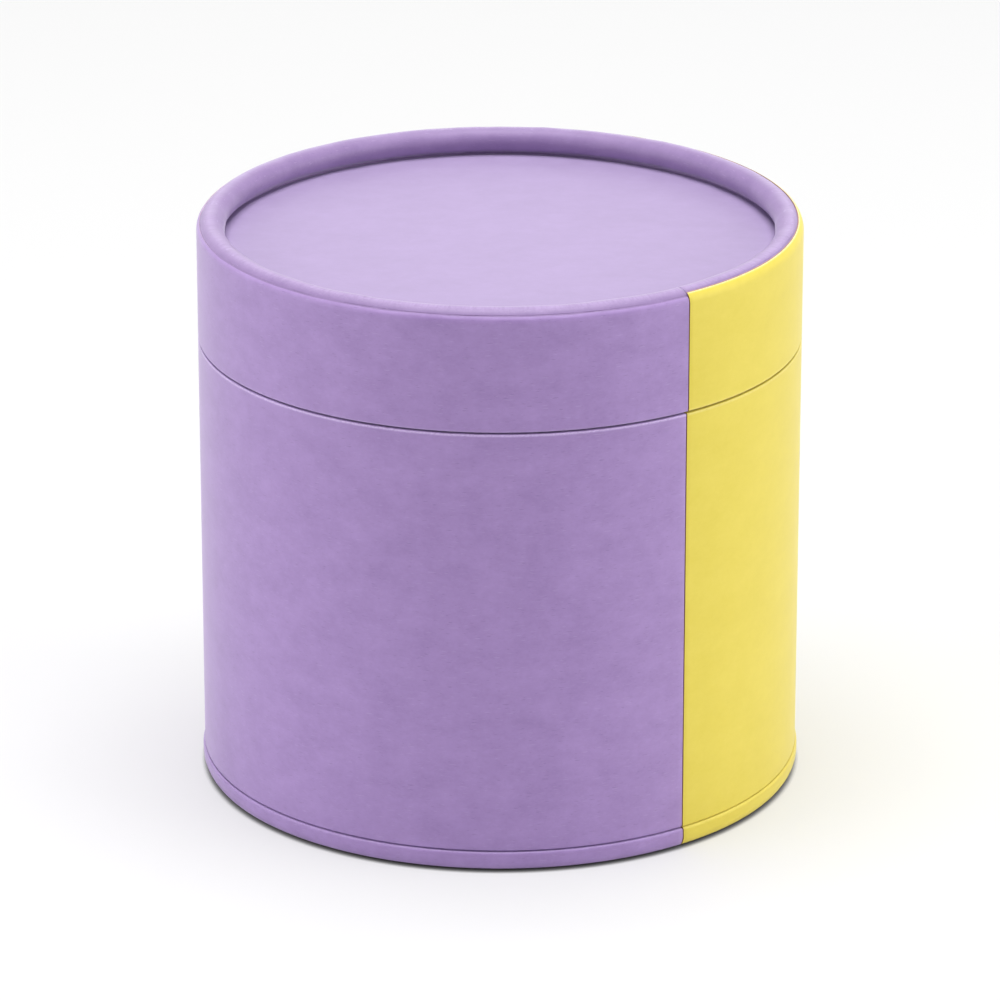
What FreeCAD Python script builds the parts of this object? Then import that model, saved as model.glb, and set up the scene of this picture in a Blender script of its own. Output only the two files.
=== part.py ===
import FreeCAD, Part
import math
import os

# A round gift box of wound board with a lift-off lid. The body carries an inner neck that stands above
# its shoulder, and the lid slips over that neck. The lid's top edge and the body's bottom edge are rolled.
# Millimetres, +Z up, origin at the centre of the foot, front towards -Y.

# Overall sizes
OUTER_DIAMETER = 100.0   # over the side papers
BODY_HEIGHT = 75.75      # floor to shoulder
LID_HEIGHT = 20.25       # lower edge of the lid to the top of its rolled rim
LID_REVEAL = 0.3         # shadow line between the shoulder and the closed lid

# Board, paper and glue
WALL = 2.2               # wound board of the lid tube and the body tube, and the radius of their rolled edges
NECK_WALL = 1.5          # wound board of the neck
DISC_BOARD = 2.0         # greyboard of the lid disc and the base disc
SIDE_PAPER = 0.2         # wraps and panels on the outside
FACING_PAPER = 0.2       # papers on the outer faces of the discs
NECK_PAPER = 0.2         # paper round the neck
LINING_PAPER = 0.15      # white papers inside
GLUE = 0.05              # glue line round every curved joint

# Rolled edges
RIM_RECESS = 4.5         # top of the lid's rolled rim down to the sunken top
BASE_RECESS = 4.0        # floor up to the sunken underside
BEAD_HEIGHT = 3.7        # floor up to the crease above the base bead
BEAD_BULGE = 0.3         # how far the bead stands out past the wall
FOOT_FLAT = 0.08         # how much of the base roll is pressed flat to stand on
ROLL_STEP = 30.0         # degrees of a rolled edge that each of its flats takes
RIM_CURL = 240.0         # degrees that the lid's rim is rolled over and under

# Edges of the side papers
LID_EDGE = 0.3           # eased lower edge of the lid
BODY_EDGE = 0.5          # eased shoulder of the body
WRAP_REACH = 31.0        # degrees up the rolled rim where the lid's lavender paper ends
PANEL_REACH = 50.0       # degrees up the rolled rim where the lid's yellow paper ends
BEAD_REACH = 40.0        # degrees under the bead where the body's papers end

# The two colours and how the lid sits
SEAM_ANGLE = 36.65       # degrees round from the front, towards +X, to the first colour seam
PANEL_ARC = 120.0        # degrees of the circumference that the yellow panels take
SEAM_GAP = 0.2           # open line between the cut edges of the two papers
LID_TURN = 0.4           # degrees that the lid is turned on the body
LID_CLEARANCE = 0.3      # round the neck, inside the lined lid

ORIGIN = FreeCAD.Vector(0, 0, 0)
UP = FreeCAD.Vector(0, 0, 1)
FRONT = -90.0            # degrees from +X to the front


def point(radius, height):
    return FreeCAD.Vector(radius, 0, height)


# Radii, from the outside in
skin = SIDE_PAPER + GLUE
outer_radius = OUTER_DIAMETER / 2
tube_radius = outer_radius - skin
tube_bore = tube_radius - WALL
disc_radius = tube_bore - GLUE
lined_bore = tube_bore - GLUE - LINING_PAPER
neck_paper_radius = lined_bore - LID_CLEARANCE
neck_radius = neck_paper_radius - NECK_PAPER - GLUE
neck_bore = neck_radius - NECK_WALL
inside_radius = neck_bore - GLUE - LINING_PAPER

# Heights, from the floor up
base_disc_bottom = BASE_RECESS + FACING_PAPER
base_disc_top = base_disc_bottom + DISC_BOARD
lid_bottom = BODY_HEIGHT + LID_REVEAL
box_height = lid_bottom + LID_HEIGHT
lid_top = box_height - RIM_RECESS
lid_disc_top = lid_top - FACING_PAPER
lid_disc_bottom = lid_disc_top - DISC_BOARD
lid_ceiling = lid_disc_bottom - LINING_PAPER
neck_board_top = lid_ceiling - NECK_PAPER

# Centres of the two rolls, where the board is folded back tight on itself
rim_centre = point(tube_bore, box_height - WALL)
base_centre = point(tube_bore + BEAD_BULGE, WALL - FOOT_FLAT)


def around(centre, radius, start, end):
    """Corners of a rolled edge, in degrees up from straight out.

    Between its two ends they stand at whole steps, so that the flats of paper and board lie side by side.
    """
    low, high = sorted((start, end))
    steps = range(math.ceil(low / ROLL_STEP), math.floor(high / ROLL_STEP) + 1)
    angles = sorted({low, high}.union(ROLL_STEP * step for step in steps), reverse=start > end)
    turns = [math.radians(angle) for angle in angles]
    return [centre + point(radius * math.cos(turn), radius * math.sin(turn)) for turn in turns]


def turned(outline, sector=(0.0, 360.0)):
    """Solid made by turning an outline round the box's axis, over a sector given as start and sweep."""
    start, sweep = sector
    face = Part.Face(Part.makePolygon(outline + outline[:1]))
    face.rotate(ORIGIN, UP, start)
    return face.revolve(ORIGIN, UP, sweep)


def sleeve(outer, inner, bottom, top):
    return turned([point(inner, bottom), point(outer, bottom), point(outer, top), point(inner, top)])


def disc(radius, bottom, thickness):
    return Part.makeCylinder(radius, thickness, point(0, bottom))


def panel_sector(turn):
    """Sector of a yellow panel, between the two colour seams."""
    gap = math.degrees(SEAM_GAP / outer_radius)
    return FRONT + SEAM_ANGLE + turn + gap / 2, PANEL_ARC - gap


def wrap_sector(turn):
    """Sector of a lavender wrap, the rest of the way round."""
    gap = math.degrees(SEAM_GAP / outer_radius)
    return FRONT + SEAM_ANGLE + PANEL_ARC + turn + gap / 2, 360 - PANEL_ARC - gap


def eased(edge, depth):
    """Leg of a 45 degree eased edge on a surface that lies a depth under the outer one."""
    return edge - depth * (2 - math.sqrt(2))


def lid_outside(depth, turn_in, reach):
    """Outline of a lid surface, from the turned-in lower edge up to a place on the rolled rim."""
    radius = outer_radius - depth
    bottom = lid_bottom + depth
    leg = eased(LID_EDGE, depth)
    edge = [point(turn_in, bottom), point(radius - leg, bottom), point(radius, bottom + leg)]
    return edge + around(rim_centre, radius - rim_centre.x, 0, reach)


def body_outside(depth, turn_in, reach):
    """Outline of a body surface, from the turned-in shoulder down the wall and round the base bead."""
    radius = outer_radius - depth
    top = BODY_HEIGHT - depth
    leg = eased(BODY_EDGE, depth)
    edge = [point(turn_in, top), point(radius - leg, top), point(radius, top - leg)]
    crease = BEAD_HEIGHT - depth * (math.sqrt(2) - 1)
    slope = [point(radius, crease), point(radius + BEAD_BULGE, crease - BEAD_BULGE)]
    return edge + slope + around(base_centre, radius + BEAD_BULGE - base_centre.x, 0, -reach)


def side_paper(outside, reach, sector):
    """A sheet on the outside of the lid or the body, turned in over its edge."""
    face = outside(0, lined_bore, reach)
    back = outside(SIDE_PAPER, lined_bore, reach)
    return turned(face + back[::-1], sector)


def lid_tube():
    """Wound tube, with its top edge rolled over inwards and under, down onto the lid's disc."""
    rolled = lid_outside(skin, tube_bore, RIM_CURL)
    rolled_end = [point(rolled[-1].x, lid_top), point(tube_bore, lid_top)]
    return turned(rolled + rolled_end)


def body_tube():
    """Wound tube, with its bottom edge rolled under and up against the base disc, and a flat foot."""
    foot = math.degrees(math.asin(base_centre.z / WALL))
    inner_roll = around(base_centre, WALL, foot - 180, -180)
    rolled_end = [point(base_centre.x - WALL, BASE_RECESS), point(tube_bore, BASE_RECESS)]
    return turned(body_outside(skin, tube_bore, foot) + inner_roll + rolled_end)


def neck_wrap():
    """Paper round the neck, turned in over its top edge down to the neck's lining."""
    inner = neck_paper_radius - NECK_PAPER
    outside = [point(neck_paper_radius, base_disc_top), point(neck_paper_radius, lid_ceiling)]
    turn_in = [point(inside_radius, lid_ceiling), point(inside_radius, neck_board_top)]
    return turned(outside + turn_in + [point(inner, neck_board_top), point(inner, base_disc_top)])


pieces = {
    "lid_tube": lid_tube(),
    "lid_wrap": side_paper(lid_outside, WRAP_REACH, wrap_sector(LID_TURN)),
    "lid_panel": side_paper(lid_outside, PANEL_REACH, panel_sector(LID_TURN)),
    "lid_disc": disc(disc_radius, lid_disc_bottom, DISC_BOARD),
    "lid_top_facing": disc(disc_radius, lid_disc_top, FACING_PAPER),
    "lid_disc_lining": disc(lined_bore - GLUE, lid_ceiling, LINING_PAPER),
    "lid_wall_lining": sleeve(tube_bore - GLUE, lined_bore, lid_bottom + SIDE_PAPER, lid_disc_bottom),
    "body_tube": body_tube(),
    "body_wrap": side_paper(body_outside, BEAD_REACH, wrap_sector(0)),
    "body_panel": side_paper(body_outside, BEAD_REACH, panel_sector(0)),
    "base_disc": disc(disc_radius, base_disc_bottom, DISC_BOARD),
    "base_facing": disc(disc_radius, BASE_RECESS, FACING_PAPER),
    "base_lining": disc(inside_radius - GLUE, base_disc_top, LINING_PAPER),
    "neck_tube": sleeve(neck_radius, neck_bore, base_disc_top, neck_board_top),
    "neck_wrap": neck_wrap(),
    "neck_lining": sleeve(neck_bore - GLUE, inside_radius, base_disc_top, neck_board_top),
}

os.makedirs("parts", exist_ok=True)
for name, piece in pieces.items():
    piece.exportStep("parts/" + name + ".step")
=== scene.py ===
import math

import bpy
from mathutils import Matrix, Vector


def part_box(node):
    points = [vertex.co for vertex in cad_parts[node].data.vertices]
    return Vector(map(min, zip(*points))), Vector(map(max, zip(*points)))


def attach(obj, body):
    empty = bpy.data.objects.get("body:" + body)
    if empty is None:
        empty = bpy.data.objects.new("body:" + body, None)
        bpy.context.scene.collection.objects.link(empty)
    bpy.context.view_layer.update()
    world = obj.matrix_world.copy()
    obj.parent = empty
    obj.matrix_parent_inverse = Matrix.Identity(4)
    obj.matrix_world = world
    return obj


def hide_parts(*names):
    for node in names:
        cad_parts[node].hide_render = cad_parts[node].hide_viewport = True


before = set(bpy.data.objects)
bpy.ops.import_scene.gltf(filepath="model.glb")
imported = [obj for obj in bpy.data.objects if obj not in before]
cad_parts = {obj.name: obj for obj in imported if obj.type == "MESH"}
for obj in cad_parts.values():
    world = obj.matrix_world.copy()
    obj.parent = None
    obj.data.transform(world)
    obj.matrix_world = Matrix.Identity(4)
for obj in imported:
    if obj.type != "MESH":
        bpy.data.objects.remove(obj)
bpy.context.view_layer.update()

# The body tube: spiral-wound board with a lavender outer ply. Its lower edge is rolled under and back on
# itself, which leaves a bead round the foot, set off by a pressed crease, and a narrow flat ring to stand on.
# Side papers cover it down to the underside of the bead.
MM = 0.001
BOARD = 2.2 * MM
FOOT_FLAT = 0.08 * MM
BOARD_SHOULDER = 0.4 * MM
CREASE = 3.7 * MM
CREASE_LIP = 0.06 * MM
BEAD_CROWN = 0.6 * MM
BOARD_CREASE = (0.73 * MM, 0.65 * MM)
SEGMENTS = 288
MERGE = 0.002 * MM
SMOOTH_BELOW = 35.0
FRONT = -90.0
PLY_BREAK = 100.0
PLY = ("#836a9b", "#977ead")
LAVENDER_FIBRES = ("#745c8e", "#b7a3cc")
LAVENDER_WORN_AND_HIGHLIT = "#cfb9e4"


def measure(node):
    """Outer radius, bottom and top of a round CAD node."""
    low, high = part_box(node)
    return max(-low.x, -low.y, high.x, high.y), low.z, high.z


def arc(centre, radius, start, end, steps=8, height=None):
    """Places along an arc of a profile, in degrees up from straight out. A height makes it an ellipse's."""
    turns = [math.radians(start + (end - start) * step / steps) for step in range(steps + 1)]
    rise = radius if height is None else height
    return [(centre[0] + radius * math.cos(turn), centre[1] + rise * math.sin(turn)) for turn in turns]


def spun(name, profile, start=0.0, sweep=360.0):
    """A turned piece. Its profile is drawn by extruding one vertex from place to place, and then spun."""
    bpy.ops.object.select_all(action="DESELECT")
    bpy.ops.mesh.primitive_plane_add(size=MM)
    piece = bpy.context.object
    piece.name = name
    turn = math.radians(FRONT + start)
    places = [Vector((radius * math.cos(turn), radius * math.sin(turn), z)) for radius, z in profile]
    bpy.ops.object.mode_set(mode="EDIT")
    bpy.ops.mesh.select_all(action="SELECT")
    bpy.ops.mesh.merge(type="CENTER")
    bpy.ops.transform.translate(value=places[0])
    for here, there in zip(places, places[1:]):
        bpy.ops.mesh.extrude_region_move(TRANSFORM_OT_translate={"value": there - here})
    bpy.ops.mesh.select_all(action="SELECT")
    steps = round(SEGMENTS * sweep / 360)
    bpy.ops.mesh.spin(steps=steps, angle=-math.radians(sweep), center=(0, 0, 0), axis=(0, 0, 1))
    bpy.ops.mesh.select_all(action="SELECT")
    bpy.ops.mesh.remove_doubles(threshold=MERGE)
    bpy.ops.mesh.normals_make_consistent(inside=False)
    bpy.ops.object.mode_set(mode="OBJECT")
    bpy.ops.object.shade_smooth_by_angle(angle=math.radians(SMOOTH_BELOW))
    return piece


def bead(radius, bulge, crease):
    """Profile from the wall into the crease, of a height and a depth, and out over the bead's crown."""
    height, depth = crease
    inside = radius - CREASE_LIP
    lip = arc((inside, CREASE + height / 2 + CREASE_LIP), CREASE_LIP, 0, -90, 4)
    valley = arc((radius - depth, CREASE), height / 4, 90, 270, 4)
    crown = arc((inside, CREASE - height / 2 - BEAD_CROWN), radius + bulge - inside, 90, 0, 10, BEAD_CROWN)
    return lip + valley + crown


def linear(code):
    """Linear colour of an sRGB hex code."""
    colour = []
    for place in (1, 3, 5):
        level = int(code[place:place + 2], 16) / 255
        colour.append(level / 12.92 if level < 0.04045 else ((level + 0.055) / 1.055) ** 2.4)
    return colour + [1.0]


def add(material, kind, options=None, inputs=None):
    """Adds a shader node, with its own options, and with inputs that are values or other nodes' outputs."""
    made = material.node_tree.nodes.new("ShaderNode" + kind)
    for option, value in (options or {}).items():
        setattr(made, option, value)
    for socket, value in (inputs or {}).items():
        if isinstance(value, bpy.types.NodeSocket):
            material.node_tree.links.new(value, made.inputs[socket])
        else:
            made.inputs[socket].default_value = value
    return made


def start_material(name):
    """An empty node material."""
    material = bpy.data.materials.new(name)
    material.use_nodes = True
    material.node_tree.nodes.clear()
    return material


def in_millimetres(material, unrolled_from=None):
    """Places on a sheet in millimetres: along it and up it where it is wrapped round, else as it lies.

    Where the sheet is wrapped, unrolled_from is the direction, in degrees from the front, where its
    pattern may break, which is under the other paper.
    """
    place = add(material, "TexCoord").outputs["Object"]
    if unrolled_from is None:
        scale = {"Vector": place, "Scale": 1 / MM}
        return add(material, "VectorMath", {"operation": "SCALE"}, scale).outputs["Vector"]
    turn = (0, 0, math.radians(180 - FRONT - unrolled_from))
    turned = add(material, "Mapping", {}, {"Vector": place, "Rotation": turn}).outputs["Vector"]
    share = add(material, "TexGradient", {"gradient_type": "RADIAL"}, {"Vector": turned}).outputs["Fac"]
    girth = 2 * math.pi * wall_radius / MM
    along = add(material, "Math", {"operation": "MULTIPLY"}, {0: share, 1: girth}).outputs["Value"]
    height = add(material, "SeparateXYZ", {}, {"Vector": turned}).outputs["Z"]
    up = add(material, "Math", {"operation": "MULTIPLY"}, {0: height, 1: 1 / MM}).outputs["Value"]
    return add(material, "CombineXYZ", {}, {"X": along, "Y": up}).outputs["Vector"]


def dyed_paper(name, tones, fibres, worn_and_highlit, unrolled_from=None, mottle=1.0, grain=1.0, sheen=0.35):
    """Uncoated paper dyed in the pulp: faint clouds of tone, short fibres along the sheet and a fine tooth.

    Loose fibres on its surface give a soft white sheen at a low angle. Where it is folded it is painted
    paler: partly wear, partly a painted highlight.
    The fibres are drawn thicker than real ones, which are too fine to show.
    """
    material = start_material(name)
    sheet = in_millimetres(material, unrolled_from)
    # Width and height of each pattern's marks in millimetres, then its detail and roughness
    grains = {"clouds": (8.0, 6.0, 4.0, 0.8), "pale fibres": (1.8, 0.18, 1.0, 0.5),
              "dark fibres": (1.3, 0.2, 1.0, 0.5), "tooth": (0.45, 0.32, 3.0, 0.5)}
    patterns = {}
    for kind, (width, height, detail, rough) in grains.items():
        apart = (40.0 * len(patterns),) * 3
        spread = {"Vector": sheet, "Location": apart, "Scale": (1 / width, 1 / height, 1 / width)}
        placed = add(material, "Mapping", {}, spread).outputs["Vector"]
        noise = {"Vector": placed, "Scale": 1.0, "Detail": detail, "Roughness": rough}
        patterns[kind] = add(material, "TexNoise", {}, noise).outputs["Fac"]
    dark, pale = (linear(tone) for tone in tones)
    shade, light = (linear(fibre) for fibre in fibres)
    swing = {"Value": patterns["clouds"], 1: 0.3, 2: 0.7, 3: 0.5 - 0.36 * mottle, 4: 0.5 + 0.36 * mottle}
    share = add(material, "MapRange", {}, swing).outputs["Result"]
    colour = add(material, "Mix", {"data_type": "RGBA"}, {0: share, 6: dark, 7: pale}).outputs[2]
    for kind, fibre in (("pale fibres", light), ("dark fibres", shade)):
        few = {"Value": patterns[kind], 1: 0.67, 2: 0.74, 3: 0.0, 4: 0.37 * grain}
        share = add(material, "MapRange", {}, few).outputs["Result"]
        colour = add(material, "Mix", {"data_type": "RGBA"}, {0: share, 6: colour, 7: fibre}).outputs[2]
    # Marked folds are painted paler: partly wear, partly a painted highlight where light catches them
    fold = add(material, "Attribute", {"attribute_name": "worn_and_highlit"}).outputs["Fac"]
    rubbed_and_highlit = {"Value": patterns["tooth"], 1: 0.3, 2: 0.6, 3: 0.4, 4: 1.0}
    rubbed_and_highlit = add(material, "MapRange", {}, rubbed_and_highlit).outputs["Result"]
    share = add(material, "Math", {"operation": "MULTIPLY"}, {0: fold, 1: rubbed_and_highlit}).outputs["Value"]
    colour = add(material, "Mix", {"data_type": "RGBA"}, {0: share, 6: colour, 7: linear(worn_and_highlit)}).outputs[2]
    bump = {"Height": patterns["tooth"], "Strength": 0.2 * grain, "Distance": 0.05 * MM}
    normal = add(material, "Bump", {}, bump).outputs["Normal"]
    dull = {"Value": patterns["clouds"], 1: 0.3, 2: 0.7, 3: 0.52, 4: 0.6}
    dull = add(material, "MapRange", {}, dull).outputs["Result"]
    shader = {"Base Color": colour, "Roughness": dull, "IOR": 1.5, "Normal": normal,
              "Sheen Weight": sheen, "Sheen Roughness": 0.45}
    paper = add(material, "BsdfPrincipled", {}, shader).outputs["BSDF"]
    add(material, "OutputMaterial", {}, {"Surface": paper})
    return material


wall_radius = measure("lid_wrap")[0]
tube_radius = measure("lid_tube")[0]
tube_bead, tube_foot, shoulder_board = measure("body_tube")
tube_bore = tube_radius - BOARD
base_roll = (tube_bead - BOARD, tube_foot + BOARD - FOOT_FLAT)
foot = math.degrees(math.asin((BOARD - FOOT_FLAT) / BOARD))
base_seat = measure("base_facing")[1]
body_profile = [(tube_bore, shoulder_board)]
body_profile += arc((tube_radius - BOARD_SHOULDER, shoulder_board - BOARD_SHOULDER), BOARD_SHOULDER, 90, 0)
body_profile += bead(tube_radius, tube_bead - tube_radius, BOARD_CREASE)
body_profile += arc(base_roll, BOARD, 0, -foot, 10)
body_profile += arc(base_roll, BOARD, foot - 180, -180, 10)
body_profile += [(base_roll[0] - BOARD, base_seat), (tube_bore, base_seat), (tube_bore, shoulder_board)]
# The outer ply is thin dyed paper, stretched by the rolling: cloudy, with its fibres laid down
lavender_ply = dyed_paper("lavender outer ply", PLY, LAVENDER_FIBRES, LAVENDER_WORN_AND_HIGHLIT, PLY_BREAK, 1.1, 0.8)
body_tube = spun("body_board", body_profile)
body_tube.data.materials.append(lavender_ply)
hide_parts("body_tube")
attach(body_tube, "box")

# The side papers of the body: a lavender sheet round most of it and a yellow one, kraft with a coloured face,
# round the rest, glued on edge to edge with a hair's breadth between them. Both are folded in over the
# shoulder and run down over the bead to its underside, where they are trimmed.
PAPER = 0.2 * MM
GLUE = 0.05 * MM
SHOULDER_ROUND = 0.25 * MM
FOLD_WEAR_AND_HIGHLIGHT = 0.28 * MM
BEAD_REACH = 40.0
SEAM_ANGLE = 36.65
PANEL_ARC = 120.0
SEAM_GAP = 0.2 * MM
LAVENDER_CREASE = (0.29 * MM, 0.6 * MM)
YELLOW_CREASE = (0.14 * MM, 0.4 * MM)
CUT_EASE = 0.08 * MM
CUT_ANGLE = 78.0
PANEL_MIDDLE = SEAM_ANGLE + PANEL_ARC / 2
LAVENDER = ("#9174ad", "#a689c2")
LAVENDER_CUT_AND_HIGHLIGHT = ("#d8b4d0", "#e4c8de")
YELLOW = ("#d3c030", "#e2d056")
YELLOW_FIBRES = ("#c9b432", "#eadb74")
YELLOW_WORN_AND_HIGHLIT = "#fbf4d0"
KRAFT = ("#8a5628", "#a26c3a")
KRAFT_FIBRES = ("#6b4220", "#b88450")


def on_sheet(piece, face, cut_edge, thickness=PAPER, thinned=None):
    """Gives a sheet its thickness inwards, eases its cut edges, and paints its face and its cut edges.

    A vertex group says where it is rubbed down to half its thickness.
    """
    piece.data.materials.append(face)
    piece.data.materials.append(cut_edge)
    ply = piece.modifiers.new("thickness", "SOLIDIFY")
    ply.thickness = thickness
    ply.offset = -1
    ply.use_even_offset = True
    ply.material_offset_rim = 1
    if thinned:
        ply.vertex_group = thinned
        ply.invert_vertex_group = True
        ply.thickness_vertex_group = 0.5
    easing = piece.modifiers.new("easing", "BEVEL")
    easing.width = CUT_EASE
    easing.segments = 2
    easing.limit_method = "ANGLE"
    easing.angle_limit = math.radians(CUT_ANGLE)
    # The eased bevels take the cut edge's colour, so a pale cut edge paints a highlight along the edge
    easing.material = 1
    bpy.ops.object.modifier_apply(modifier="thickness")
    bpy.ops.object.modifier_apply(modifier="easing")
    bpy.ops.object.shade_smooth_by_angle(angle=math.radians(SMOOTH_BELOW))


def mark_worn_and_highlit_folds(piece, folds):
    """Marks where a piece is painted paler at its folds: worn, and with a painted highlight. A fold has its
    place by radius and height, its reach and its most paleness.
    """
    worn_and_highlit = piece.data.attributes.new("worn_and_highlit", "FLOAT", "POINT")
    for vertex, mark in zip(piece.data.vertices, worn_and_highlit.data):
        place = (math.hypot(vertex.co.x, vertex.co.y), vertex.co.z)
        mark.value = max(most * max(0, 1 - math.dist(place, crest) / reach) for crest, reach, most in folds)


def body_sheet(crease):
    """Profile of a sheet's face, from the turn-in on the shoulder to its trimmed edge under the bead."""
    round_centre = (wall_radius - SHOULDER_ROUND, shoulder - SHOULDER_ROUND)
    face = [(turn_in, shoulder), (wall_radius - SHOULDER_ROUND - FOLD_WEAR_AND_HIGHLIGHT, shoulder)]
    face += arc(round_centre, SHOULDER_ROUND, 90, 0)
    wall = [(wall_radius, shoulder - SHOULDER_ROUND - FOLD_WEAR_AND_HIGHLIGHT), (wall_radius, CREASE + 2 * FOLD_WEAR_AND_HIGHLIGHT)]
    under = arc(base_roll, BOARD + PAPER + GLUE, 0, -BEAD_REACH, 8)
    return face + wall + bead(wall_radius, paper_bulge, crease) + under


def panel_sector(turn=0.0):
    """Start and sweep of a yellow sheet, in degrees from the front."""
    gap = math.degrees(SEAM_GAP / wall_radius)
    return SEAM_ANGLE + turn + gap / 2, PANEL_ARC - gap


def wrap_sector(turn=0.0):
    """Start and sweep of a lavender sheet, in degrees from the front."""
    gap = math.degrees(SEAM_GAP / wall_radius)
    return SEAM_ANGLE + PANEL_ARC + turn + gap / 2, 360 - PANEL_ARC - gap


shoulder = measure("body_wrap")[2]
turn_in = tube_bore - PAPER
paper_bulge = measure("body_wrap")[0] - wall_radius
shoulder_crest = (wall_radius, shoulder - 0.8 * SHOULDER_ROUND)
bead_crest = (wall_radius + 0.5 * paper_bulge, CREASE - 0.2 * BEAD_CROWN)
# The shoulder and the bead's crown are painted paler: partly wear, partly a painted highlight
lavender_folds = [(shoulder_crest, FOLD_WEAR_AND_HIGHLIGHT, 1.0), (bead_crest, FOLD_WEAR_AND_HIGHLIGHT, 0.5)]
yellow_folds = [(shoulder_crest, FOLD_WEAR_AND_HIGHLIGHT, 0.2), (bead_crest, FOLD_WEAR_AND_HIGHLIGHT, 0.1)]
# Dyed through, so its cut edge is lavender too, fresh and paler; its pale pinkish tone, also on the eased
# bevels, is partly a painted highlight
lavender_paper = dyed_paper("lavender dyed paper", LAVENDER, LAVENDER_FIBRES, LAVENDER_WORN_AND_HIGHLIT, PANEL_MIDDLE)
lavender_cut_and_highlight = dyed_paper("cut edge of lavender paper, with painted highlight", LAVENDER_CUT_AND_HIGHLIGHT, LAVENDER_FIBRES, "#f0e2ee")
# Coated on one side: an even, smooth yellow with little sheen, and brown where it is cut; the brown strip
# above its trimmed edge on the lid is partly raw kraft and partly a painted line of shade
yellow_break = PANEL_MIDDLE - 180
yellow_paper = dyed_paper("yellow-faced kraft paper", YELLOW, YELLOW_FIBRES, YELLOW_WORN_AND_HIGHLIT, yellow_break,
                          0.55, 0.15, 0.2)
kraft_cut_and_shade = dyed_paper("cut edge of kraft paper, with painted shade line", KRAFT, KRAFT_FIBRES, KRAFT_FIBRES[1])
body_wrap = spun("body_lavender_paper", body_sheet(LAVENDER_CREASE), *wrap_sector())
on_sheet(body_wrap, lavender_paper, lavender_cut_and_highlight)
mark_worn_and_highlit_folds(body_wrap, lavender_folds)
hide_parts("body_wrap")
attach(body_wrap, "box")
body_panel = spun("body_yellow_paper", body_sheet(YELLOW_CREASE), *panel_sector())
on_sheet(body_panel, yellow_paper, kraft_cut_and_shade)
mark_worn_and_highlit_folds(body_panel, yellow_folds)
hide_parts("body_panel")
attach(body_panel, "box")

# The base: a greyboard disc that stands on the rolled foot, faced underneath with a flat sheet of lavender
# paper, cut round and glued on. The paper is what shows of the sunken underside.
FACING = ("#9481a9", "#a794bc")


def disc_face(name, radius, height, rings=24):
    """A flat round sheet with rings of faces."""
    return spun(name, [(radius * ring / rings, height) for ring in range(rings + 1)])


# Pressed flat on its disc: calmer clouds, hardly any loose fibre and so hardly any sheen
flat_lavender = dyed_paper("lavender facing paper", FACING, LAVENDER_FIBRES, LAVENDER_WORN_AND_HIGHLIT, None,
                           0.65, 0.08, 0.05)
base_radius, base_top = measure("base_facing")[::2]
base_facing = disc_face("base_paper", base_radius, base_top)
on_sheet(base_facing, flat_lavender, lavender_cut_and_highlight)
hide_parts("base_facing")
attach(base_facing, "box")

# The neck: a second wound tube, which stands on the base disc inside the body and holds the lid in line with
# it. White paper covers it outside and is folded in over its top, and another lines it. The two ends of each
# sheet meet in a fine butt joint at the back.
NECK_ROUND = 0.5 * MM
LINING = 0.15 * MM
BUTT_JOINT = 0.15 * MM
NECK_JOINT = 172.0
NECK_LINING_JOINT = 158.0
WHITE = ("#e2dfd8", "#ebe8e2")
WHITE_FIBRES = ("#cfcabf", "#f6f4ef")
WHITE_WORN = "#f4f2ec"


def butted(radius, at):
    """Start and sweep of a sheet whose ends meet at a direction, in degrees from the front."""
    gap = math.degrees(BUTT_JOINT / radius)
    return at + gap / 2, 360 - gap


neck_radius, neck_bottom, neck_top = measure("neck_wrap")
lining_radius, lining_bottom, lining_top = measure("neck_lining")
# Plain uncoated stock: a warm white, faintly cloudy
white_paper = dyed_paper("white lining paper", WHITE, WHITE_FIBRES, WHITE_WORN, 180.0, 1.0, 0.5)
white_flat = dyed_paper("white lining paper on a disc", WHITE, WHITE_FIBRES, WHITE_WORN, None, 1.0, 0.5)
neck_profile = [(neck_radius, neck_bottom), (neck_radius, neck_top - NECK_ROUND - FOLD_WEAR_AND_HIGHLIGHT)]
neck_profile += arc((neck_radius - NECK_ROUND, neck_top - NECK_ROUND), NECK_ROUND, 0, 90)
neck_profile += [(neck_radius - NECK_ROUND - FOLD_WEAR_AND_HIGHLIGHT, neck_top), (lining_radius - LINING, neck_top)]
neck_wrap = spun("neck_paper", neck_profile, *butted(neck_radius, NECK_JOINT))
on_sheet(neck_wrap, white_paper, white_paper)
neck_crest = (neck_radius - 0.3 * NECK_ROUND, neck_top - 0.3 * NECK_ROUND)
mark_worn_and_highlit_folds(neck_wrap, [(neck_crest, FOLD_WEAR_AND_HIGHLIGHT, 1.0)])
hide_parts("neck_wrap")
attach(neck_wrap, "box")
neck_face = [(lining_radius, lining_bottom), (lining_radius, lining_top)]
neck_lining = spun("neck_inner_paper", neck_face, *butted(lining_radius, NECK_LINING_JOINT))
on_sheet(neck_lining, white_paper, white_paper, LINING)
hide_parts("neck_lining")
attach(neck_lining, "box")

# The floor of the box: a disc of the same white lining paper, cut to fit inside the lined neck and glued down
# on the base disc.
floor_radius, floor_top = measure("base_lining")[::2]
base_lining = disc_face("floor_paper", floor_radius, floor_top)
on_sheet(base_lining, white_flat, white_flat, LINING)
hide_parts("base_lining")
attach(base_lining, "box")

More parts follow.
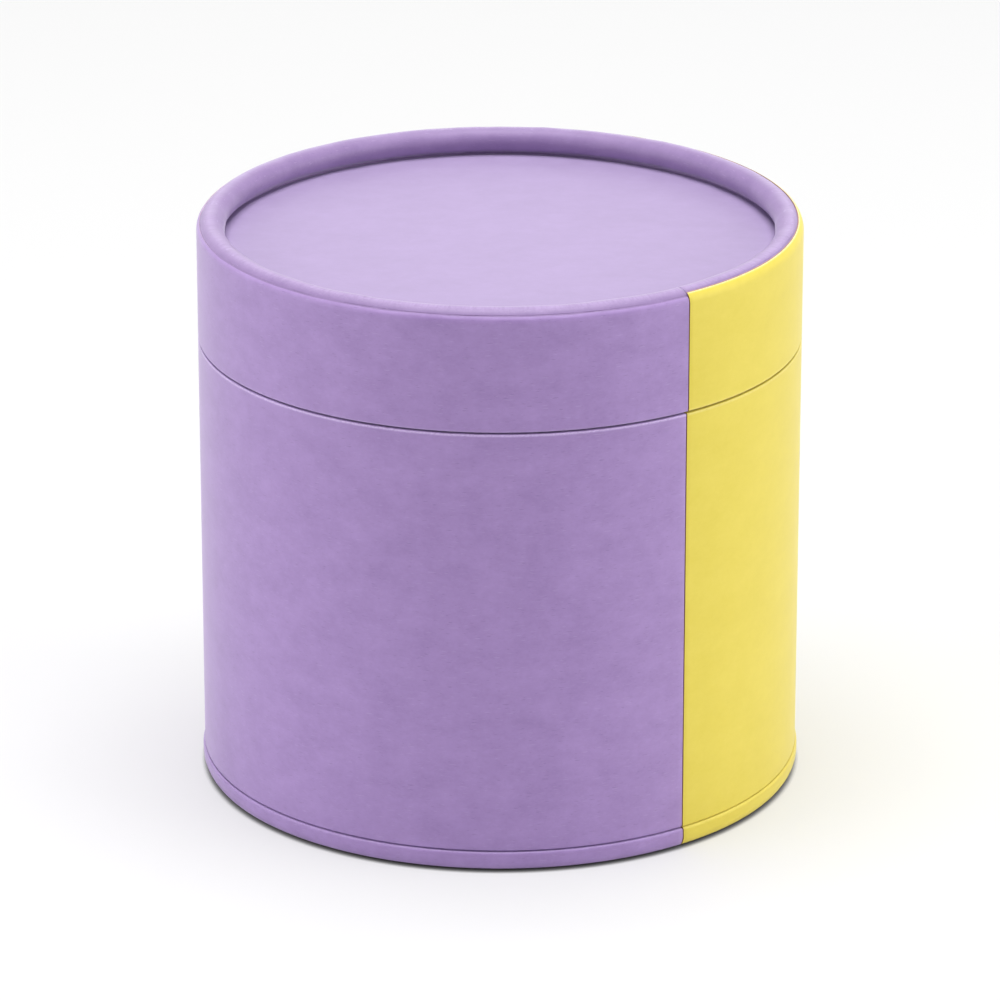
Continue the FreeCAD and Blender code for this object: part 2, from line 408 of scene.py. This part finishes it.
# The lid tube: a short piece of the same wound board. Its top edge is rolled over inwards and under, onto the
# lid's disc, and shows all round the top, in its lavender outer ply, a little uneven from the rolling. The
# blade that trims the lid's papers leaves a fine score above each of them, and one at their seam.
BOARD_LID_ROUND = 0.2 * MM
RIM_CURL = 250.0
WRAP_REACH = 31.0
PANEL_REACH = 50.0
LID_TURN = 0.4
SCORE_SIZE = 3.0 * MM
SCORE_DEPTH = 0.24 * MM
SCORE_LEVEL = 0.75
SCORE_FROM = 3.0
SCORE_TO = 7.0
SEAM_SCORE_WIDTH = 0.09 * MM
SEAM_SCORE_END = 115.0
SEAM_SCORE_STEPS = ((104, 0.09), (94, 0.09))
CREST_HIGHLIGHT_AND_WEAR = (80.0, 1.3 * MM, 0.32)
LUMP_SIZE = 5.5 * MM
LUMP_DEPTH = 0.28 * MM
LUMPS_FROM = 55.0
LUMPS_TO = 225.0
LUMPS_FADE = 25.0


def uneven(piece, name, weight, size, depth, direction="NORMAL", level=0.5):
    """Moves a piece's surface by soft noise, as much as a weight from 0 to 1 says at each place.

    Noise over the level moves it out, and noise under the level moves it in.
    """
    group = piece.vertex_groups.new(name=name)
    for vertex in piece.data.vertices:
        group.add([vertex.index], weight(vertex.co), "REPLACE")
    lumps = bpy.data.textures.new(name, "CLOUDS")
    lumps.noise_scale = size
    lumps.noise_depth = 1
    push = piece.modifiers.new(name, "DISPLACE")
    push.texture = lumps
    push.texture_coords = "LOCAL"
    push.direction = direction
    push.strength = depth
    push.mid_level = level
    push.vertex_group = name
    bpy.ops.object.modifier_apply(modifier=name)


def round_roll(place):
    """Degrees round the rolled rim, up from straight out, or nothing for a place that isn't on it."""
    out = Vector((math.hypot(place.x, place.y) - rim_roll[0], place.z - rim_roll[1]))
    if abs(out.length - BOARD) > 0.1 * BOARD:
        return None
    return math.degrees(math.atan2(out.y, out.x)) % 360


def freely(place):
    """How freely the rim may be uneven: fully on its crest, not at all where papers or disc touch it."""
    turn = round_roll(place)
    if turn is None:
        return 0.0
    return max(0.0, min(1.0, (turn - LUMPS_FROM) / LUMPS_FADE, (LUMPS_TO - turn) / LUMPS_FADE))


def round_box(place):
    """Degrees round the box from the front."""
    return (math.degrees(math.atan2(place.y, place.x)) - FRONT) % 360


def pick(piece, wanted):
    """Goes into edit mode with only those vertices selected that a test wants."""
    bpy.ops.object.mode_set(mode="EDIT")
    bpy.ops.mesh.select_all(action="DESELECT")
    bpy.ops.object.mode_set(mode="OBJECT")
    for vertex in piece.data.vertices:
        vertex.select = wanted(vertex.co)
    bpy.ops.object.mode_set(mode="EDIT")


def on_roll(place, low, high, start=0.0, sweep=360.0):
    """Whether a place is on the rolled rim, between two angles of the roll and in a sector of the box."""
    turn = round_roll(place)
    return turn is not None and low < turn < high and (round_box(place) - start) % 360 < sweep


lid_board_bottom, lid_board_top = measure("lid_tube")[1:]
lid_seat = measure("lid_top_facing")[2]
rim_roll = (tube_bore, lid_board_top - BOARD)
lid_profile = [(tube_bore, lid_board_bottom)]
lid_round_centre = (tube_radius - BOARD_LID_ROUND, lid_board_bottom + BOARD_LID_ROUND)
lid_profile += arc(lid_round_centre, BOARD_LID_ROUND, -90, 0)
for reach in (WRAP_REACH, PANEL_REACH):
    lid_profile += arc(rim_roll, BOARD, reach - 10, reach + 8, 9)
lid_profile += arc(rim_roll, BOARD, PANEL_REACH + 12, RIM_CURL, 34)
lid_profile += [(lid_profile[-1][0], lid_seat), (tube_bore, lid_seat), (tube_bore, lid_board_bottom)]
lid_tube = spun("lid_board", lid_profile)
lid_panel_sector = panel_sector(LID_TURN)
scores = {"low score": (WRAP_REACH, (0.0, 360.0)), "high score": (PANEL_REACH, lid_panel_sector)}
for name, (reach, sector) in scores.items():
    uneven(lid_tube, name, lambda place: float(on_roll(place, reach + SCORE_FROM, reach + SCORE_TO, *sector)),
           SCORE_SIZE, SCORE_DEPTH, level=SCORE_LEVEL)
lid_seam = math.radians(FRONT + SEAM_ANGLE + LID_TURN)
for side in (-1, 0, 1):
    cut = lid_seam + side * SEAM_SCORE_WIDTH / wall_radius
    pick(lid_tube, lambda place: on_roll(place, WRAP_REACH, SEAM_SCORE_END, SEAM_ANGLE + LID_TURN - 2, 4))
    across = (-math.sin(cut), math.cos(cut), 0)
    bpy.ops.mesh.bisect(plane_co=(0, 0, 0), plane_no=across, threshold=0.5 * MERGE)
    bpy.ops.object.mode_set(mode="OBJECT")
half_score = math.degrees(0.5 * SEAM_SCORE_WIDTH / wall_radius)
seam_score = (SEAM_ANGLE + LID_TURN - half_score, 2 * half_score)
roll_centre = (rim_roll[0] * math.cos(lid_seam), rim_roll[0] * math.sin(lid_seam), rim_roll[1])
for end, depth in SEAM_SCORE_STEPS:
    pick(lid_tube, lambda place: on_roll(place, WRAP_REACH, end, *seam_score))
    bpy.ops.transform.resize(value=(1 - depth, 1 - depth, 1 - depth), center_override=roll_centre)
    bpy.ops.object.mode_set(mode="OBJECT")
uneven(lid_tube, "rim lumps", freely, LUMP_SIZE, LUMP_DEPTH)
# The rim's crest is painted paler: a painted highlight, with a little wear
crest_turn, crest_reach, crest_most = CREST_HIGHLIGHT_AND_WEAR
mark_worn_and_highlit_folds(lid_tube, [(arc(rim_roll, BOARD, crest_turn, crest_turn, 1)[0], crest_reach, crest_most)])
lid_tube.data.materials.append(lavender_ply)
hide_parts("lid_tube")
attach(lid_tube, "lid")

# The side papers of the lid, as on the body: folded in round the lower edge. The lavender one is trimmed low
# on the rolled rim and the yellow one higher up, both by hand, so their edges waver a little. The lid sits
# turned a little on the body, so that the seams don't quite meet.
LID_ROUND = 0.2 * MM
TRIM_TAPER = 12.0
TRIM_SIZE = 4.0 * MM
TRIM_DEPTH = 0.2 * MM
lid_bottom = measure("lid_wrap")[1]


def lid_sheet(name, reach, sector, waver):
    """A sheet's face, from the turn-in at the lower edge to its trimmed edge on the rim."""
    profile = [(turn_in, lid_bottom), (wall_radius - LID_ROUND - FOLD_WEAR_AND_HIGHLIGHT, lid_bottom)]
    profile += arc((wall_radius - LID_ROUND, lid_bottom + LID_ROUND), LID_ROUND, -90, 0)
    profile += [(wall_radius, lid_bottom + LID_ROUND + FOLD_WEAR_AND_HIGHLIGHT)]
    profile += arc(rim_roll, BOARD + PAPER + GLUE, 0, reach - TRIM_TAPER, 10)
    start = profile[-1][1]
    for share in (0.25, 0.5, 0.75, 1.0):
        height = BOARD + (PAPER + GLUE) * (1 - 0.5 * share)
        profile += arc(rim_roll, height, reach - TRIM_TAPER * (1 - share), reach, 1)[:1]
    sheet = spun(name, profile, *sector)
    edge = profile[-1][1]
    uneven(sheet, "trim", lambda place: max(0.0, (place.z - start) / (edge - start)), TRIM_SIZE, waver, "Z")
    return sheet, profile[-2]


# The lower fold and each trimmed edge are painted paler: partly wear, partly a painted highlight, strongest
# on the yellow's edge
lid_fold = ((wall_radius - 0.3 * LID_ROUND, lid_bottom + 0.3 * LID_ROUND), FOLD_WEAR_AND_HIGHLIGHT, 0.2)
lid_wrap, wrap_edge = lid_sheet("lid_lavender_paper", WRAP_REACH, wrap_sector(LID_TURN), TRIM_DEPTH)
on_sheet(lid_wrap, lavender_paper, lavender_cut_and_highlight, PAPER, "trim")
mark_worn_and_highlit_folds(lid_wrap, [lid_fold, (wrap_edge, FOLD_WEAR_AND_HIGHLIGHT, 0.15)])
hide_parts("lid_wrap")
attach(lid_wrap, "lid")
lid_panel, panel_edge = lid_sheet("lid_yellow_paper", PANEL_REACH, lid_panel_sector, 0.5 * TRIM_DEPTH)
on_sheet(lid_panel, yellow_paper, kraft_cut_and_shade, PAPER, "trim")
mark_worn_and_highlit_folds(lid_panel, [lid_fold, (panel_edge, FOLD_WEAR_AND_HIGHLIGHT, 1.0)])
# A strip of the yellow's face above its trimmed edge takes the brown cut-edge colour: raw kraft, and a
# painted line of shade
for face in lid_panel.data.polygons:
    if face.center.z > panel_edge[1]:
        face.material_index = 1
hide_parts("lid_panel")
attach(lid_panel, "lid")

# The sunken top: a disc of the lavender facing paper, glued on the lid's greyboard disc. The rolled rim is
# pressed down on its edge.
lid_top = disc_face("lid_top_paper", measure("lid_top_facing")[0], lid_seat)
on_sheet(lid_top, flat_lavender, lavender_cut_and_highlight)
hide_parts("lid_top_facing")
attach(lid_top, "lid")

# Linings of the lid: a strip of the white paper glued round the inside of its wall, with its ends butted at
# the back, and a disc of it glued under the lid's board.
LID_LINING_JOINT = 205.0
lid_lining_radius, lid_lining_bottom, lid_lining_top = measure("lid_wall_lining")
lid_lining_face = [(lid_lining_radius, lid_lining_bottom), (lid_lining_radius, lid_lining_top)]
lid_wall_lining = spun("lid_inner_paper", lid_lining_face, *butted(lid_lining_radius, LID_LINING_JOINT))
on_sheet(lid_wall_lining, white_paper, white_paper, LINING)
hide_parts("lid_wall_lining")
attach(lid_wall_lining, "lid")
ceiling_radius, ceiling_top = measure("lid_disc_lining")[::2]
lid_ceiling = disc_face("lid_ceiling_paper", ceiling_radius, ceiling_top)
on_sheet(lid_ceiling, white_flat, white_flat, LINING)
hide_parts("lid_disc_lining")
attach(lid_ceiling, "lid")

# The boards that the papers hide: two discs punched out of greyboard, and the neck's wound tube. They keep
# their CAD shape. The board is pressed from waste paper, so it is grey and speckled.
GREY = ("#827d76", "#9c978f")
GREY_FIBRES = ("#6e6963", "#a7a29a")
grey_board = dyed_paper("greyboard", GREY, GREY_FIBRES, GREY_FIBRES[1])
for hidden in ("lid_disc", "base_disc", "neck_tube"):
    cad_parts[hidden].data.materials.clear()
    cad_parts[hidden].data.materials.append(grey_board)

# The stage: a white floor that keeps a soft shadow, a large soft lamp overhead with others at the sides and
# the back, a white room, and a long lens from in front and above.
FLOOR_SIZE = 6.0
FLOOR_WHITE = "#ededed"
FLOOR_GLOW = 0.87
FLOOR_SHARE = 0.5
CONTACT_SHADOW_REACH = 1.1 * MM
CONTACT_SHADOW_POWER = 1.5
ROOM_LIGHT = 0.08
AIM = (0, 0, 50 * MM)
# Place in metres, width in metres and power in watts
LAMPS = {"left lamp": ((-1.2, -0.3, 0.3), 1.0, 11.0), "right lamp": ((1.2, -0.3, 0.3), 1.0, 12.4),
         "top lamp": ((0, 0, 1.35), 0.9, 20.5), "back lamp": ((0, 1.4, 0.55), 1.1, 3.6)}
CAMERA_PLACE = (0.0, -987.3 * MM, 419.2 * MM)
CAMERA_PITCH = 20.716
CAMERA_LENS = 226.95


def background_rays(material):
    """1 for rays that see the background: from the camera, off gloss or through glass."""
    rays = add(material, "LightPath").outputs
    gloss = {0: rays["Is Glossy Ray"], 1: rays["Is Transmission Ray"]}
    beyond = add(material, "Math", {"operation": "MAXIMUM"}, gloss).outputs["Value"]
    seen = {0: rays["Is Camera Ray"], 1: beyond}
    return add(material, "Math", {"operation": "MAXIMUM"}, seen).outputs["Value"]


bpy.ops.object.select_all(action="DESELECT")
bpy.ops.mesh.primitive_plane_add(size=FLOOR_SIZE)
floor = bpy.context.object
floor.name = "floor"
# Matt white paint, evenly bright, with a painted contact shadow: an occlusion node darkens its colour and its
# glow where the box all but touches it
white_floor = start_material("white floor")
painted_contact_shadow = {"Color": linear(FLOOR_WHITE), "Distance": CONTACT_SHADOW_REACH}
painted_contact_shadow = add(white_floor, "AmbientOcclusion", {"samples": 12}, painted_contact_shadow).outputs
paint = add(white_floor, "BsdfDiffuse", {}, {"Color": painted_contact_shadow["Color"]}).outputs["BSDF"]
level = {0: painted_contact_shadow["AO"], 1: CONTACT_SHADOW_POWER}
level = add(white_floor, "Math", {"operation": "POWER"}, level).outputs["Value"]
level = add(white_floor, "Math", {"operation": "MULTIPLY"}, {0: level, 1: FLOOR_GLOW}).outputs["Value"]
glow = add(white_floor, "Emission", {}, {"Strength": level}).outputs["Emission"]
share = {0: background_rays(white_floor), 1: FLOOR_SHARE}
share = add(white_floor, "Math", {"operation": "MULTIPLY"}, share).outputs["Value"]
lift = add(white_floor, "MixShader", {}, {0: share, 1: paint, 2: glow}).outputs["Shader"]
add(white_floor, "OutputMaterial", {}, {"Surface": lift})
floor.data.materials.append(white_floor)

for name, (place, size, power) in LAMPS.items():
    turn = (Vector(AIM) - Vector(place)).to_track_quat("-Z", "Y").to_euler()
    bpy.ops.object.light_add(type="AREA", location=place, rotation=turn)
    bpy.context.object.name = name
    bpy.context.object.data.size = size
    bpy.context.object.data.energy = power

world = bpy.data.worlds.new("white room")
bpy.context.scene.world = world
world.use_nodes = True
world.node_tree.nodes.clear()
level = {"Value": background_rays(world), 3: ROOM_LIGHT, 4: 1.0}
level = add(world, "MapRange", {}, level).outputs["Result"]
white = add(world, "Background", {}, {"Color": (1, 1, 1, 1), "Strength": level}).outputs["Background"]
add(world, "OutputWorld", {}, {"Surface": white})

bpy.ops.object.camera_add(location=CAMERA_PLACE, rotation=(math.radians(90 - CAMERA_PITCH), 0, 0))
camera = bpy.context.object
camera.data.lens = CAMERA_LENS
camera.data.sensor_width = 36.0
camera.data.clip_end = 20.0
bpy.context.scene.camera = camera
bpy.context.scene.view_settings.view_transform = "Standard"
